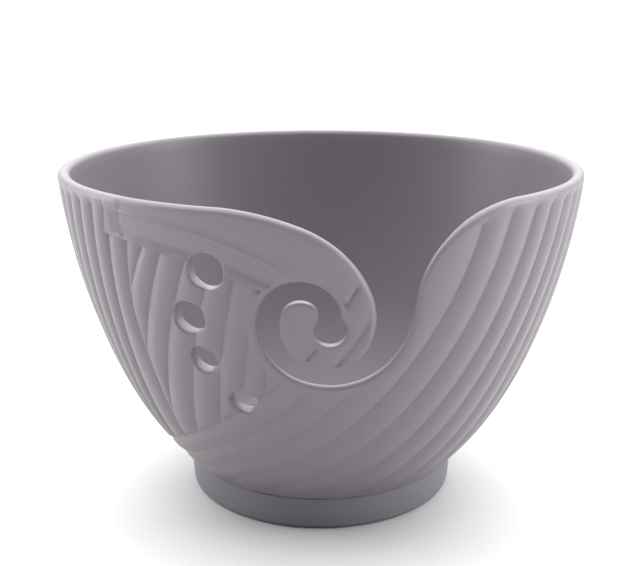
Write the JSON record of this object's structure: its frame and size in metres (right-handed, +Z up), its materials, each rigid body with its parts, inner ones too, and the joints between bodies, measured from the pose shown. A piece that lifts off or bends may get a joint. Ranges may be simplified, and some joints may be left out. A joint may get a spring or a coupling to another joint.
{
  "type": "yarn bowl",
  "caption": "Round footed yarn bowl with ribbed sides, a spiral yarn slot and needle holes in its front wall, and a soft non-slip base.",
  "frame": {"origin": "centre of the resting face, on the bowl's axis", "axes": "+Z up along the bowl's axis, -Y towards the spiral slot, +X to the right seen from the front"},
  "size_m": [0.1998, 0.1993, 0.1303],
  "materials": {
    "bowl_plastic": "satin moulded grey plastic with a faint violet tint",
    "base_rubber": "smooth matt soft moulding, a little bluer than the bowl"
  },
  "bodies": {
    "root": {"bowl": "bowl_plastic", "non_slip_base": "base_rubber"}
  },
  "joints": []
}
